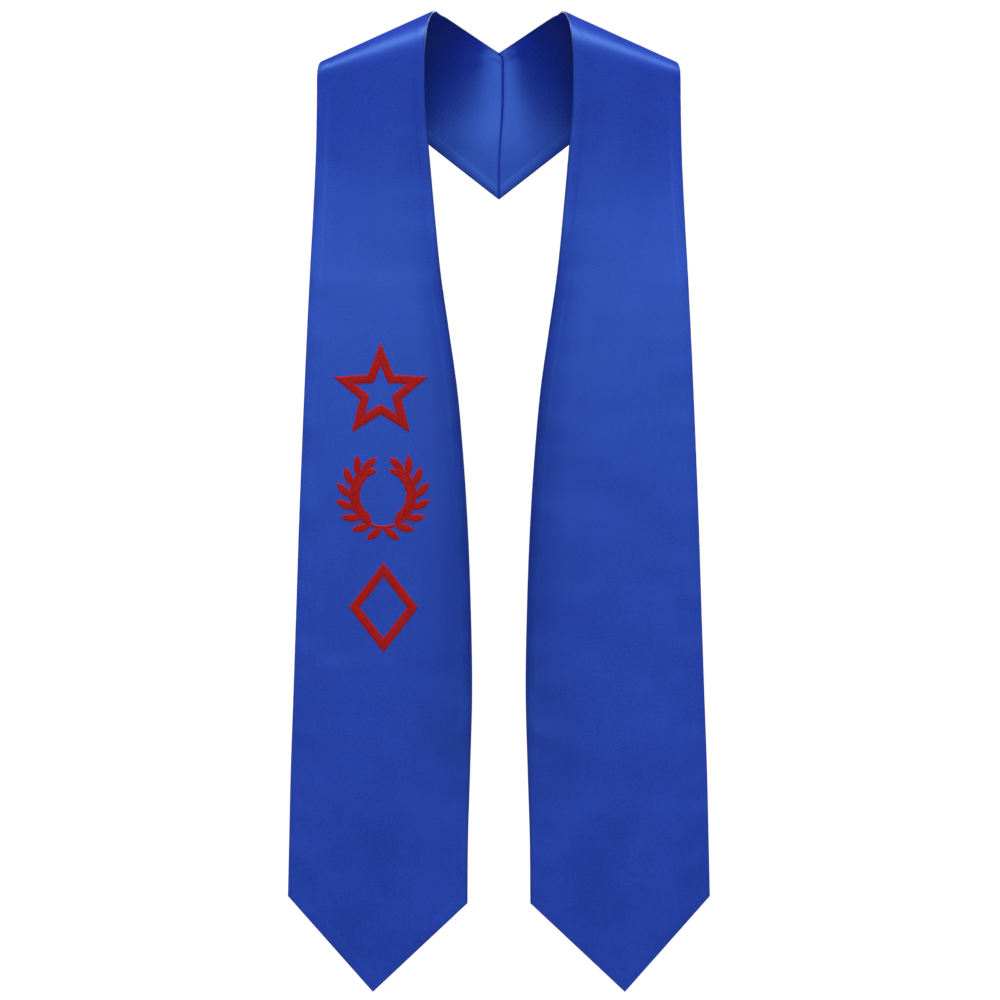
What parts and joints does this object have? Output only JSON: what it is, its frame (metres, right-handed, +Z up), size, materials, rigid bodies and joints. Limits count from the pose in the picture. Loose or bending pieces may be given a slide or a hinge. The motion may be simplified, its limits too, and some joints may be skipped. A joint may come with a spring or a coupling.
{
  "type": "graduation stole",
  "caption": "Worn satin graduation stole: tapering lined bands with pointed feet, joined in a V seam at the nape, and a column of embroidered ornaments on the wearer's right.",
  "frame": {"origin": "on the axis of the wearer's neck, level with the top of the nape seam", "axes": "+X to the wearer's left, the front faces -Y, +Z up"},
  "size_m": [0.3418, 0.0912, 0.798],
  "materials": {
    "satin_face": "royal blue satin with a soft sheen",
    "satin_lining": "the same royal blue satin, a little duller",
    "red_thread": "dense satin-stitched red thread"
  },
  "bodies": {
    "root": {"right_face": "satin_face", "right_lining": "satin_lining", "left_face": "satin_face", "left_lining": "satin_lining", "star_embroidery": "red_thread", "wreath_embroidery": "red_thread", "lozenge_embroidery": "red_thread"}
  },
  "joints": []
}
